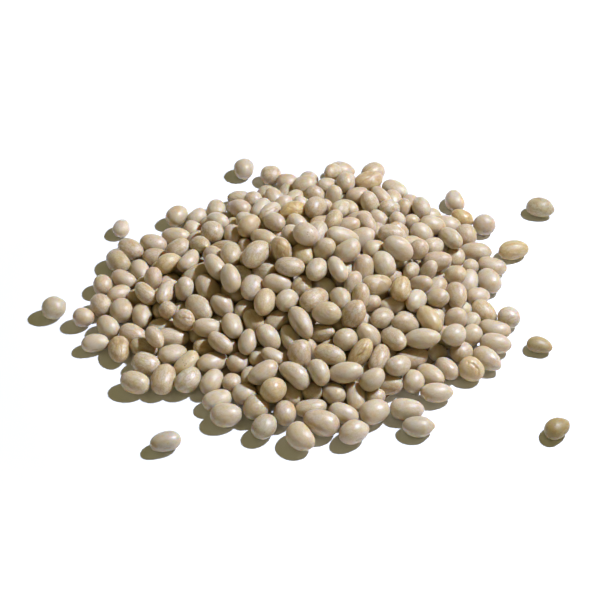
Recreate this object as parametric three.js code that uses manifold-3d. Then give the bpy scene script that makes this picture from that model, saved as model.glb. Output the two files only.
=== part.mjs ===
// A heap of small white beans poured out on a flat surface, with the beans that rolled clear of it.
// Millimetres, +Z up. The origin is on the ground, under the middle of the heap.
//
// The beans of the rim are placed one by one and the others on a loose lattice inside it, then
// all are settled: they sink by small steps, push each other apart where they overlap, and come
// to rest on the ground. What shows of them is fused to a core, which fills the heap. Each bean
// that lies apart is a solid of its own.

import * as THREE from 'three';
import { mergeVertices } from 'three/addons/utils/BufferGeometryUtils.js';
import Module from 'manifold-3d';

const wasm = await Module();
wasm.setup();

// ---------------------------------------------------------------- driving dimensions

// One bean: half its length and half its girth, and how far each strays from that.
const HALF_LENGTH = 4.25;
const HALF_GIRTH = 2.93;
const LENGTH_SPREAD = 1.1;
const GIRTH_SPREAD = 0.55;
const SIZE_SHARE = 0.4; // part of both spreads that a bean takes as a whole, big or small
const LEAST_STRETCH = 1.04; // no bean is rounder than this, length to girth
const END_GIRTH = 0.86; // radius of the round end of a bean, as a part of its half girth

// The heap: the radius of its rim at 24 places, 6 to a quarter turn, from +X towards +Y.
const OUTLINE = [
  56, 58, 59, 54, 59, 57, 52, 54, 46, 49, 55, 56,
  58, 61, 55, 50, 49, 50, 52, 53, 56, 53, 58, 59,
];
const RAGGED = [0.82, 0.92]; // parts of that radius that the lattice reaches to, inside the rim
const APEX = [3, 4];
const APRON_HEIGHT = 8;
const CROWN_HEIGHT = 20; // above the apron, before the beans settle

// The loose lattice that the beans start from.
const LAYERS = 9;
const FIRST_LAYER = 3.2;
const LAYER_STEP = 6;
const PITCH = 6.6;
const ROW_STEP = 0.866; // of the pitch, as in a triangular lattice
const LATTICE_SPAN = 13;
const SCATTER = 2.4;
const LEVEL_LEAN = 0.45; // below 1, the beans start out nearer to level

// Settling.
const FALL_STEPS = 120;
const FALL = 0.12;
const SWEEPS_A_STEP = 4;
const REST_SWEEPS = 40;
const PUSH_SHARE = 0.25; // part of an overlap that one bean gives way in one sweep
const GRIP = 0.5; // part of a sideways move that friction takes back
const NEIGHBOUR_EVERY = 5;
const NEIGHBOUR_REACH = 1;
const TINY = 1e-12;

const SHIFT_SEED = 5;
const PLACE_SEED = 47;
const SHAPE_SEED = 25;

// The beans seen singly: those of the heap's rim, from the left edge round the front, those just
// inside it, and those that lie apart. Place, direction of the long axis, half length, half girth,
// and how high above the ground they start.
const EDGE_BEANS = [
  [-62.5, -10, 1, -0.2, 3.2, 3],
  [-58, -19.5, 1, 0.1, 4, 2.6],
  [-50.5, -21.5, 0, 1, 4.5, 2.9],
  [-55, -13.5, 0.6, -0.8, 4.1, 3],
  [-58, -5, 0.5, -0.9, 4, 3.1],
  [-45, -34.5, 0.9, -0.3, 4.4, 3.1],
  [-37.5, -33, 0.1, 1, 4.9, 3.2],
  [-30.5, -33.5, 0.8, 0.6, 4.3, 3.2],
  [-42.5, -27, 0.8, -0.6, 4.2, 3.1],
  [-24.5, -34, 0.1, 1, 4.3, 2.9],
  [-22.5, -40, 0.9, 0.4, 4.2, 2.8],
  [-19.5, -45, 1, -0.1, 4.5, 3.2],
  [-12, -43.5, 0.8, 0.6, 3.9, 3.4],
  [-9.5, -49, 0.5, 0.9, 3.9, 3.1],
  [-4, -44.5, 0.1, 1, 4, 3],
  [0.5, -52.5, 0.5, -0.9, 4.5, 3.3],
  [5.5, -48, 0.9, -0.4, 5, 3.4],
  [14, -51, 0.8, 0.5, 4.2, 3.2],
  [12, -45, 0.9, -0.4, 4.4, 2.8],
  [19.5, -43.5, 0.8, 0.5, 4.3, 3.2],
  [28.5, -43.5, 1, -0.1, 4.7, 2.9],
  [31, -49, 1, 0, 4, 2.8],
  [37, -37, 1, -0.1, 4.6, 2.8],
  [30.5, -34, 0, 1, 3.6, 3],
  [23.5, -34.5, 1, 0.1, 4.6, 2.9],
  [40.5, -28.5, 0.7, -0.7, 4, 2.6],
  [47, -29.5, 0.9, -0.4, 3.7, 3.3],
  [52, -25.5, 0.6, -0.8, 4.4, 3],
  [55, -20, 1, -0.2, 4.6, 3],
  [55.5, -14, 0.9, -0.4, 4.6, 2.8],
  [59.5, -10, 1, 0, 3.4, 3.2],
  [53, -7, 0.8, -0.6, 4.4, 2.8],
  [52, -1, 0.9, 0.3, 3.7, 2.7],
  [55.5, 5, 0.4, -0.9, 4.6, 3.2],
  [57.5, 11.5, 0.9, -0.5, 4.6, 2.8],
  [53.5, 17.5, 0.9, -0.4, 4.8, 3],
  [50.5, 25, 0.5, -0.9, 3.7, 3.3],
  [51.5, 33, 0.8, -0.5, 3.7, 2.7],
  [46, 30, 0.8, -0.6, 4.5, 2.9],
  [41, 34, 0.9, -0.4, 4.1, 2.6],
  [35, 39.5, 0.4, -0.9, 4.1, 3.1],
  [30.5, 47, 0.9, -0.5, 4.8, 2.9],
  [24, 54.5, 0.5, 0.9, 4.2, 3.4],
  [23, 48, 1, 0, 3.7, 2.8],
  [13.5, 56, 1, -0.1, 4.5, 3.2],
  [8, 49, 0.9, 0.3, 3.3, 2.7],
  [3.5, 51, 1, 0, 3.2, 3.1],
  [-4, 49.5, 0.9, -0.4, 3.7, 3.2],
  [-9.5, 54, 1, 0, 3.5, 3.2],
  [-10.5, 41.5, 0.5, 0.9, 4.8, 3.3],
  [-18.5, 41, 1, -0.2, 4.8, 2.8],
  [-26, 36.5, 0.4, 0.9, 4.2, 3.1],
  [-32.5, 33.5, 1, 0.2, 3.6, 2.7],
  [-38, 33.5, 0.8, 0.6, 3.9, 3.2],
  [-38.5, 24, 1, 0, 4.6, 3],
  [-45, 20.5, 0.8, -0.6, 4.5, 3.1],
  [-52, 19, 0.8, -0.6, 4.6, 3],
  [-56, 29, 0, 1, 3.5, 2.5],
  [-54.5, 13, 0.8, -0.6, 4.8, 3.2],
  [-58.5, 3.5, 0.2, 1, 3.5, 2.9],
];
const INNER_BEANS = [
  [-46.5, -15.5, 1, -0.3, 4.2, 2.7, 0],
  [-44, -21.5, 0.9, -0.5, 4.1, 2.8, 0],
  [-51, -7.5, 0.5, -0.9, 4, 3.4, 0],
  [-44.5, -8, -0.1, 1, 4.9, 3, 0],
  [-39, -7.5, 1, 0, 3.3, 2.8, 1],
  [-38.5, -12.5, 1, 0.3, 4.1, 2.6, 0],
  [-36.5, -18, 1, 0.2, 5.1, 3, 0],
  [-35.5, -23, 0.9, 0.3, 4.4, 2.8, 0],
  [-32, -27, 0.3, 0.9, 4.4, 2.7, 1],
  [-52, 0, 1, 0.2, 3.9, 2.7, 0],
  [-51.5, 5, 1, 0.1, 4.2, 2.7, 0],
  [-46, -1.5, 0.9, -0.5, 3.2, 2.8, 0],
  [-40, -0.5, 0.4, -0.9, 4.2, 2.9, 1],
  [-38, 4.5, 0.4, -0.9, 4.1, 2.9, 1],
  [-42, 8, 0.3, -1, 3.9, 2.8, 0],
  [-45.5, 3, 1, 0, 3, 2.7, 0],
  [-43, 14, 1, 0.1, 4.7, 2.9, 0],
  [-48.5, 9.5, 0.8, -0.6, 4.4, 2.8, 0],
  [-36.5, 18.5, 0.1, 1, 3.4, 2.9, 0],
  [-35.5, 11.5, 0.9, 0.5, 3.3, 2.7, 1],
  [-31, -15, 0.7, -0.7, 3.5, 2.9, 3],
  [-28.5, -11, 0.5, -0.8, 5.3, 3.1, 6],
  [41, -18, 0.9, 0.3, 4.1, 3.3, 3],
  [49, -16, 0.9, -0.5, 3.5, 2.9, 0],
  [49, -10.5, 1, -0.2, 3, 2.5, 0],
  [44.5, -23, 0.4, -0.9, 3.5, 3.1, 0],
  [42.5, -8.5, 0.9, -0.5, 4, 2.7, 2],
  [48.5, -6, 0.9, -0.3, 2.9, 2.6, 0],
  [38, -23.5, 1, 0.2, 2.9, 2.5, 0],
  [44.5, -3, 0.8, 0.6, 4.1, 2.9, 2],
  [50, 4.5, 0.4, -0.9, 4.3, 2.8, 0],
  [39.5, -1, 0.5, 0.8, 5.4, 3.4, 4],
  [46, 7, 0.5, -0.9, 3.2, 2.6, 0],
  [46, 13, 0.8, -0.6, 3.5, 2.7, 0],
  [50.5, 11, 0.7, -0.7, 2.9, 2.6, 0],
  [39.5, 9, 1, 0.2, 4.7, 3.1, 3],
  [45, 21, 0.9, -0.5, 4.5, 2.9, 0],
  [37, 20, 1, 0, 3.2, 2.8, 1],
  [39, 28.5, 0.9, -0.5, 4.4, 2.8, 0],
  [36, -30, 0.8, -0.6, 4.5, 2.7, 0],
  [-14.5, -38.5, 0.8, 0.6, 3.5, 2.9, 0],
  [-18.5, -34, 1, 0, 2.9, 2.6, 0],
  [-8, -37, 1, -0.1, 3.2, 2.4, 0],
  [3.5, -42.5, 1, 0, 4.4, 2.5, 0],
  [-1.5, -37, 0.3, -0.9, 3.9, 2.7, 0],
  [4.5, -37.5, 0.1, 1, 3.2, 2.7, 1],
  [14.5, -37.5, 0.8, -0.6, 4.8, 2.7, 1],
  [21, -37.5, 0.8, -0.5, 2.9, 2.4, 0],
  [18.5, -31.5, 0.8, 0.6, 4.5, 2.8, 2],
  [25.5, -29, 0.5, -0.9, 3.7, 2.5, 1],
  [-20.5, 36.5, 1, 0.2, 4.2, 2.9, 0],
  [-23, 31.5, 1, -0.2, 3.5, 2.8, 0],
  [-27.5, 31, 1, 0, 3, 2.8, 0],
  [-31.5, 28, 1, 0, 3, 2.7, 0],
  [-3, 41, 1, 0.3, 4.7, 3.4, 2],
  [5.5, 44.5, 1, 0.1, 4.1, 2.9, 0],
  [13, 40, 0.4, 0.9, 3.9, 3.5, 2],
  [14, 49.5, 1, 0, 3.5, 2.9, 0],
  [21, 42.5, 0.9, -0.3, 3.4, 3, 0],
  [29, 39, 0.4, -0.9, 4.6, 3.2, 1],
];
const STRAY_BEANS = [
  [-71.7, -6.5, 0.8, 0.6, 3.5, 3.3],
  [-18.5, 57, 0.1, 1, 3.8, 3.3],
  [76.5, 38, 1, -0.3, 4.4, 3.2],
  [65.5, 18.5, 1, 0.25, 4.8, 3],
  [67.8, -19.8, 1, -0.3, 3.6, 2.4],
  [68, -49.5, 0.8, 0.6, 3.8, 2.6],
  [-35.2, -54, 1, 0.3, 4.1, 2.7],
  [57.7, 29.5, 1, 0, 3.5, 3.3],
  [49.8, 42, -0.15, 1, 4.3, 2.9],
];
const STRAY_CLEARANCE = 0.7; // kept free round each stray bean while the heap settles
const EDGE_GIVE = 0.06; // how far a bean of the rim gives way, where the others give way by 1
const INNER_GIVE = 0.3; // the same, of the beans just inside the rim
const EDGE_ROOM = 4.2; // no bean of the lattice starts nearer to one of these

// Solids.
const CORE_SECTORS = 40;
const CORE_RINGS = [0.4, 0.75, 1];
const CORE_APRON = 2;
const CORE_PEAK = 22;
const CORE_FALL = 24.5; // from the apex to the outline
const CORE_INSET = 1.2; // from the centre of the outermost bean of each sector
const SHOWN = 2.2; // a bean takes part when it stands out of the core by this much
const BITE = 0.9; // a bean that isn't this deep in the core needs the beans that hold it
const HOLD_REACH = 6; // centre to centre
const BEAN_SIDES = 5;
const BEAN_BELTS = 3;
const BEAN_SWELL = 1.12; // makes up for the few sides, so that beans that touch are fused
const RIDER_SWELL = 1.36; // the same, of beans that ride clear of the core, and of what holds them
const STRAY_SIDES = 10;
const STRAY_BELTS = 7;
const STRAY_SINK = 0.12; // depth of the small flat that a stray bean rests on
const GROUND_BLOCK = [400, 400, 40];

const BEAN_COLOUR = 0xd9cdb8;

// ---------------------------------------------------------------- seeded draws

function* draws(seed) {
  let state = seed;
  while (true) {
    state = (state * 16807) % 2147483647;
    yield state / 2147483647;
  }
}

// ---------------------------------------------------------------- outline and mound

// Position round the heap, 0 to 4, one for each quarter turn. It runs evenly along a square stood
// on its corner, which needs no angle.
function quarterTurn(x, y) {
  const share = Math.abs(y) / (Math.abs(x) + Math.abs(y) + TINY);
  if (y >= 0) return x >= 0 ? share : 2 - share;
  return x < 0 ? 2 + share : 4 - share;
}

function outlineRadius(x, y) {
  const place = quarterTurn(x, y) * (OUTLINE.length / 4);
  const before = Math.floor(place);
  const part = place - before;
  const eased = part * part * (3 - 2 * part);
  const from = OUTLINE[before % OUTLINE.length];
  const to = OUTLINE[(before + 1) % OUTLINE.length];
  return from * (1 - eased) + to * eased;
}

// Height of a mound over its outline: a level apron, and a crown that rises to the apex.
function moundHeight(x, y, reach, apron, crown) {
  const dx = x - APEX[0];
  const dy = y - APEX[1];
  const rest = Math.max(1 - Math.sqrt(dx * dx + dy * dy) / reach, 0);
  return apron + crown * rest * Math.sqrt(rest);
}

// ---------------------------------------------------------------- the beans as they start

const PLACED = [...EDGE_BEANS, ...INNER_BEANS];
const clearOfPlaced = (x, y, z) => PLACED.every(([atX, atY, , , , girth, lift = 0]) => {
  const [dx, dy, dz] = [x - atX, y - atY, z - (girth + lift)];
  return Math.sqrt(dx * dx + dy * dy + dz * dz) > EDGE_ROOM;
});

function latticePlaces() {
  const places = [];
  const shifts = draws(SHIFT_SEED);
  const draw = draws(PLACE_SEED);
  for (let layer = 0; layer < LAYERS; layer += 1) {
    const shiftX = shifts.next().value * PITCH;
    const shiftY = shifts.next().value * PITCH;
    for (let row = -LATTICE_SPAN; row <= LATTICE_SPAN; row += 1) {
      for (let column = -LATTICE_SPAN; column <= LATTICE_SPAN; column += 1) {
        const [a, b, c, d] = [0, 1, 2, 3].map(() => draw.next().value);
        const x = (column + 0.5 * (Math.abs(row) % 2)) * PITCH + shiftX + (a - 0.5) * SCATTER;
        const y = row * PITCH * ROW_STEP + shiftY + (b - 0.5) * SCATTER;
        const z = FIRST_LAYER + layer * LAYER_STEP + (c - 0.5) * SCATTER;
        const reach = outlineRadius(x, y) * (RAGGED[0] + (RAGGED[1] - RAGGED[0]) * d);
        const inside = Math.sqrt(x * x + y * y) < reach;
        const below = z < moundHeight(x, y, reach, APRON_HEIGHT, CROWN_HEIGHT);
        const kept = inside && (layer === 0 || below) && clearOfPlaced(x, y, z);
        if (kept) places.push([x, y, z]);
      }
    }
  }
  return places;
}

function makeBean(x, y, z, ux, uy, uz, halfLength, halfGirth, give, clearance) {
  const long = Math.sqrt(ux * ux + uy * uy + uz * uz);
  const end = END_GIRTH * halfGirth;
  const offset = Math.max(halfLength - end, 0.4);
  const [vx, vy, vz] = [ux / long, uy / long, uz / long];
  return {
    halfLength,
    halfGirth,
    offset,
    radii: [end + clearance, halfGirth + clearance, end + clearance],
    give,
    head: [x + vx * offset, y + vy * offset, z + vz * offset],
    tail: [x - vx * offset, y - vy * offset, z - vz * offset],
  };
}

function heapBeans() {
  const draw = draws(SHAPE_SEED);
  return latticePlaces().map(([x, y, z]) => {
    const d = [0, 1, 2, 3, 4, 5, 6, 7, 8].map(() => draw.next().value);
    const whole = d[3] + d[4] - 1;
    const girth = HALF_GIRTH + GIRTH_SPREAD * ((d[7] + d[8] - 1) * 0.8 + whole * SIZE_SHARE);
    const length = HALF_LENGTH + LENGTH_SPREAD * ((d[5] + d[6] - 1) * 0.9 + whole * SIZE_SHARE);
    const [ux, uy, uz] = [d[0] * 2 - 1, d[1] * 2 - 1, (d[2] * 2 - 1) * LEVEL_LEAN];
    return makeBean(x, y, z, ux, uy, uz, Math.max(length, girth * LEAST_STRETCH), girth, 1, 0);
  });
}

function placedBeans(list, give, clearance) {
  return list.map(([x, y, ux, uy, length, girth, lift = 0]) => (
    makeBean(x, y, girth + lift, ux, uy, 0, length, girth, give, clearance)));
}

// ---------------------------------------------------------------- settling

const AXES = [0, 1, 2];
const between = (a, b) => AXES.map((k) => (a[k] + b[k]) / 2);

function neighbours(beans) {
  const pairs = [];
  const centres = beans.map((bean) => between(bean.head, bean.tail));
  const reach = beans.map((bean) => bean.offset + bean.radii[0]);
  for (let i = 0; i < beans.length; i += 1) {
    for (let j = i + 1; j < beans.length; j += 1) {
      const dx = centres[i][0] - centres[j][0];
      const dy = centres[i][1] - centres[j][1];
      const dz = centres[i][2] - centres[j][2];
      const near = reach[i] + reach[j] + NEIGHBOUR_REACH;
      if (Math.sqrt(dx * dx + dy * dy + dz * dz) < near) pairs.push([i, j]);
    }
  }
  return pairs;
}

// Each bean is three balls on its axis. Two balls that overlap push their beans apart.
function pushes(beans, pairs) {
  const balls = beans.map((bean) => [bean.head, between(bean.head, bean.tail), bean.tail]);
  const push = beans.map(() => [[0, 0, 0], [0, 0, 0], [0, 0, 0]]);
  for (let p = 0; p < 3; p += 1) {
    for (let q = 0; q < 3; q += 1) {
      const moves = pairs.map(([i, j]) => {
        const d = AXES.map((k) => balls[i][p][k] - balls[j][q][k]);
        const gap = Math.sqrt(d[0] * d[0] + d[1] * d[1] + d[2] * d[2]) + TINY;
        const overlap = beans[i].radii[p] + beans[j].radii[q] - gap;
        const share = overlap > 0 ? PUSH_SHARE * overlap / gap : 0;
        return [d[0] * share, d[1] * share, d[2] * share];
      });
      pairs.forEach(([i], n) => AXES.forEach((k) => { push[i][p][k] += moves[n][k]; }));
      pairs.forEach(([, j], n) => AXES.forEach((k) => { push[j][q][k] -= moves[n][k]; }));
    }
  }
  return push;
}

function sweep(beans, pairs) {
  const push = pushes(beans, pairs);
  beans.forEach((bean, n) => {
    if (bean.give === 0) return;
    const head = AXES.map((k) => bean.head[k] + (push[n][0][k] + push[n][1][k]) * bean.give);
    const tail = AXES.map((k) => bean.tail[k] + (push[n][2][k] + push[n][1][k]) * bean.give);
    const centre = between(head, tail);
    const d = AXES.map((k) => head[k] - tail[k]);
    const long = Math.sqrt(d[0] * d[0] + d[1] * d[1] + d[2] * d[2]);
    const axis = d.map((value) => value / long);
    bean.head = AXES.map((k) => centre[k] + axis[k] * bean.offset);
    bean.tail = AXES.map((k) => centre[k] - axis[k] * bean.offset);
    bean.head[2] = Math.max(bean.head[2], bean.radii[0]);
    bean.tail[2] = Math.max(bean.tail[2], bean.radii[2]);
    const lift = Math.max(bean.radii[1] - (bean.head[2] + bean.tail[2]) / 2, 0);
    bean.head[2] += lift;
    bean.tail[2] += lift;
  });
}

function settle(beans) {
  const loose = beans.filter((bean) => bean.give > 0);
  let pairs = [];
  for (let step = 0; step < FALL_STEPS + REST_SWEEPS; step += 1) {
    const falling = step < FALL_STEPS;
    if (step % NEIGHBOUR_EVERY === 0) pairs = neighbours(beans);
    const start = loose.map((bean) => between(bean.head, bean.tail));
    if (falling) {
      loose.forEach((bean) => { bean.head[2] -= FALL; bean.tail[2] -= FALL; });
    }
    for (let n = 0; n < (falling ? SWEEPS_A_STEP : 1); n += 1) sweep(beans, pairs);
    if (falling) {
      loose.forEach((bean, n) => {
        const now = between(bean.head, bean.tail);
        [0, 1].forEach((k) => {
          const back = (now[k] - start[n][k]) * GRIP;
          bean.head[k] -= back;
          bean.tail[k] -= back;
        });
      });
    }
  }
}

// ---------------------------------------------------------------- solids

const toSolid = (geometry) => {
  const bare = geometry.clone();
  bare.deleteAttribute('normal');
  bare.deleteAttribute('uv');
  const merged = mergeVertices(bare, 1e-4);
  return new wasm.Manifold(new wasm.Mesh({
    numProp: 3,
    vertProperties: new Float32Array(merged.attributes.position.array),
    triVerts: new Uint32Array(merged.index.array),
  }));
};

const toGeometry = (solid) => {
  const mesh = solid.getMesh();
  const geometry = new THREE.BufferGeometry();
  geometry.setAttribute('position', new THREE.BufferAttribute(mesh.vertProperties, 3));
  geometry.setIndex(new THREE.BufferAttribute(mesh.triVerts, 1));
  return geometry;
};

// A ball drawn out along the bean's axis.
function beanGeometry(bean, sides, belts, swell, sink) {
  const geometry = new THREE.SphereGeometry(1, sides, belts);
  const girth = bean.halfGirth * swell;
  const axis = new THREE.Vector3(...bean.head).sub(new THREE.Vector3(...bean.tail)).normalize();
  const turn = new THREE.Quaternion().setFromUnitVectors(new THREE.Vector3(0, 1, 0), axis);
  const centre = new THREE.Vector3(...between(bean.head, bean.tail));
  centre.z -= sink;
  geometry.scale(girth, bean.halfLength, girth);
  geometry.applyQuaternion(turn);
  geometry.translate(centre.x, centre.y, centre.z);
  return geometry;
}

// The core reaches under the outermost bean of each sector, so that every bean is fused to it.
function coreRadii(beans) {
  const sector = (2 * Math.PI) / CORE_SECTORS;
  return Array.from({ length: CORE_SECTORS }, (_, n) => {
    const reaches = beans.map((bean) => {
      const [x, y] = between(bean.head, bean.tail);
      const turned = Math.atan2(y, x) - n * sector;
      const off = Math.abs(Math.atan2(Math.sin(turned), Math.cos(turned)));
      return off < sector * 0.75 ? Math.hypot(x, y) - CORE_INSET : 0;
    });
    return Math.max(...reaches);
  });
}

// A cone on a thin apron, as steep in every direction as the outline there leaves room for.
function coreHeight(x, y) {
  const out = Math.hypot(x - APEX[0], y - APEX[1]) / outlineRadius(x, y);
  return Math.max(CORE_PEAK - CORE_FALL * out, CORE_APRON);
}

function coreGeometry(beans) {
  const radii = coreRadii(beans);
  const rings = CORE_RINGS.length;
  const points = [0, 0, coreHeight(0, 0)];
  for (let ring = 0; ring < rings; ring += 1) {
    for (let n = 0; n < CORE_SECTORS; n += 1) {
      const angle = (2 * Math.PI * n) / CORE_SECTORS;
      const x = Math.cos(angle) * radii[n] * CORE_RINGS[ring];
      const y = Math.sin(angle) * radii[n] * CORE_RINGS[ring];
      points.push(x, y, coreHeight(x, y));
    }
  }
  const rim = (rings - 1) * CORE_SECTORS + 1;
  for (let n = 0; n < CORE_SECTORS; n += 1) {
    points.push(points[(rim + n) * 3], points[(rim + n) * 3 + 1], 0);
  }
  points.push(0, 0, 0);
  const foot = rim + CORE_SECTORS;
  const bottom = foot + CORE_SECTORS;
  const faces = [];
  for (let n = 0; n < CORE_SECTORS; n += 1) {
    const next = (n + 1) % CORE_SECTORS;
    faces.push(0, 1 + n, 1 + next);
    for (let ring = 0; ring < rings; ring += 1) {
      const inner = 1 + ring * CORE_SECTORS;
      const outer = inner + CORE_SECTORS;
      faces.push(inner + n, outer + n, outer + next);
      faces.push(inner + n, outer + next, inner + next);
    }
    faces.push(foot + n, bottom, foot + next);
  }
  const geometry = new THREE.BufferGeometry();
  geometry.setAttribute('position', new THREE.Float32BufferAttribute(points, 3));
  geometry.setIndex(faces);
  return geometry;
}

const groundBlock = () => {
  const block = new THREE.BoxGeometry(...GROUND_BLOCK);
  block.translate(0, 0, -GROUND_BLOCK[2] / 2);
  return toSolid(block);
};

// One body: a bean that nothing holds is dropped, and a hollow closed in between beans is filled.
const largestBody = (solid) => solid.decompose()
  .reduce((best, body) => (body.volume() > best.volume() ? body : best));

function heapSolid(beans) {
  const centres = beans.map((bean) => between(bean.head, bean.tail));
  const above = centres.map(([x, y, z]) => z - coreHeight(x, y));
  const standsOut = beans.map((bean, n) => above[n] + bean.halfGirth > SHOWN);
  const ridesHigh = beans.map((bean, n) => above[n] - bean.halfGirth > -BITE);
  const holds = beans.map((bean, n) => beans.some((other, m) => (
    ridesHigh[m] && centres[m][2] > centres[n][2]
    && Math.hypot(...AXES.map((k) => centres[m][k] - centres[n][k])) < HOLD_REACH)));
  const shown = beans.map((bean, n) => n).filter((n) => standsOut[n] || holds[n]);
  const solids = shown.map((n) => {
    const swell = ridesHigh[n] || holds[n] ? RIDER_SWELL : BEAN_SWELL;
    return toSolid(beanGeometry(beans[n], BEAN_SIDES, BEAN_BELTS, swell, 0));
  });
  const fused = wasm.Manifold.union([toSolid(coreGeometry(beans)), ...solids]);
  return largestBody(fused.subtract(groundBlock()));
}

function strayGeometry(bean) {
  const geometry = beanGeometry(bean, STRAY_SIDES, STRAY_BELTS, 1, STRAY_SINK);
  return toGeometry(toSolid(geometry).subtract(groundBlock()));
}

// ---------------------------------------------------------------- the object

const white = () => new THREE.MeshStandardMaterial({
  color: BEAN_COLOUR,
  roughness: 0.45,
  metalness: 0,
});

const strays = placedBeans(STRAY_BEANS, 0, STRAY_CLEARANCE);
const heap = [
  ...placedBeans(EDGE_BEANS, EDGE_GIVE, 0),
  ...placedBeans(INNER_BEANS, INNER_GIVE, 0),
  ...heapBeans(),
];
settle([...strays, ...heap]);

const group = new THREE.Group();
const heapMesh = new THREE.Mesh(toGeometry(heapSolid(heap)), white());
heapMesh.name = 'bean_heap';
group.add(heapMesh);
strays.forEach((bean, n) => {
  const mesh = new THREE.Mesh(strayGeometry(bean), white());
  mesh.name = `stray_bean_${n + 1}`;
  group.add(mesh);
});

export default group;
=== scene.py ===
# %% [markdown]
# # A heap of small white beans
#
# A few hundred dried white beans have been poured out on a bare, level surface. They lie about
# four deep in the middle and one deep round the edge, and a few rolled clear. In this lesson the
# heap is set out once, by the same seeded rule that shaped its solid model, and every bean is
# then a small surface of its own, worked out with numpy from a ball.

# %% Load the frame
import math

import bpy
import numpy as np
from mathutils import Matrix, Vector


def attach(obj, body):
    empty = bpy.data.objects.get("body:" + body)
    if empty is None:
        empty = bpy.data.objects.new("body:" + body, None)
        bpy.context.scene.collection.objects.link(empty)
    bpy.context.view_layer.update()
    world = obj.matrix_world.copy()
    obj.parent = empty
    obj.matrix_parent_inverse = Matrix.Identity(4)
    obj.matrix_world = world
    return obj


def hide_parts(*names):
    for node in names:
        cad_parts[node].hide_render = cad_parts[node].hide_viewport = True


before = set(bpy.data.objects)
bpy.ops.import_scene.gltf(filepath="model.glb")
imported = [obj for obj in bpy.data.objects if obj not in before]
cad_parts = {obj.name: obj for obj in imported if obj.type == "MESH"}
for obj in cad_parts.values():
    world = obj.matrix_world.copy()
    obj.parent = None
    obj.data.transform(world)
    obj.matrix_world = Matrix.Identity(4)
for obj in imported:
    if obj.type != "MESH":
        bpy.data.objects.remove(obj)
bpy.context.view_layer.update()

# %% [markdown]
# ## The beans' sizes and the heap's outline
#
# Beans of one harvest differ: most are about 8 mm long and 6 mm thick, some are nearly round, and
# a few are half as large again as their neighbours. The heap's outline is uneven too, so it is
# given as the radius at 24 places round the heap. Sizes here are in millimetres, and they become
# metres where a mesh is made.

# %% Sizes of the beans and of the heap, in millimetres
MM = 0.001

# One bean, and how far each strays from it: SIZE_SHARE of the spread as a whole, big or small,
# and the next two in girth and length alone.
HALF_LENGTH = 4.25
HALF_GIRTH = 2.93
LENGTH_SPREAD = 1.1
GIRTH_SPREAD = 0.55
SIZE_SHARE = 0.4
GIRTH_ALONE = 0.8
LENGTH_ALONE = 0.9
LEAST_STRETCH = 1.04
END_GIRTH = 0.86

# The heap: the radius of its rim, how much of it the lattice fills, the place of the top, and
# the heights of the low apron and of the crown on it.
OUTLINE = np.array([
    56, 58, 59, 54, 59, 57, 52, 54, 46, 49, 55, 56,
    58, 61, 55, 50, 49, 50, 52, 53, 56, 53, 58, 59])
RAGGED = (0.82, 0.92)
APEX = (3, 4)
APRON_HEIGHT = 8
CROWN_HEIGHT = 20

# The loose lattice that the beans start from, and the seeds of the draws.
LAYERS = 9
FIRST_LAYER = 3.2
LAYER_STEP = 6
PITCH = 6.6
ROW_STEP = 0.866
LATTICE_SPAN = 13
SCATTER = 2.4
LEVEL_LEAN = 0.45
SHIFT_SEED = 5
PLACE_SEED = 47
SHAPE_SEED = 25
LOOK_SEED = 77

# %% [markdown]
# ## Beans seen singly
#
# The beans of the rim, those of the row behind it and those that rolled clear can be told apart
# in the photograph, so they are placed one by one. Each row gives the place on the ground, the
# direction of the long axis, half the length and half the girth, and in the row behind the rim
# also how high the bean starts. In the settling these beans give way only in part, and no bean of
# the lattice starts within EDGE_ROOM of them. The stray beans keep a clear space round them.

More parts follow.
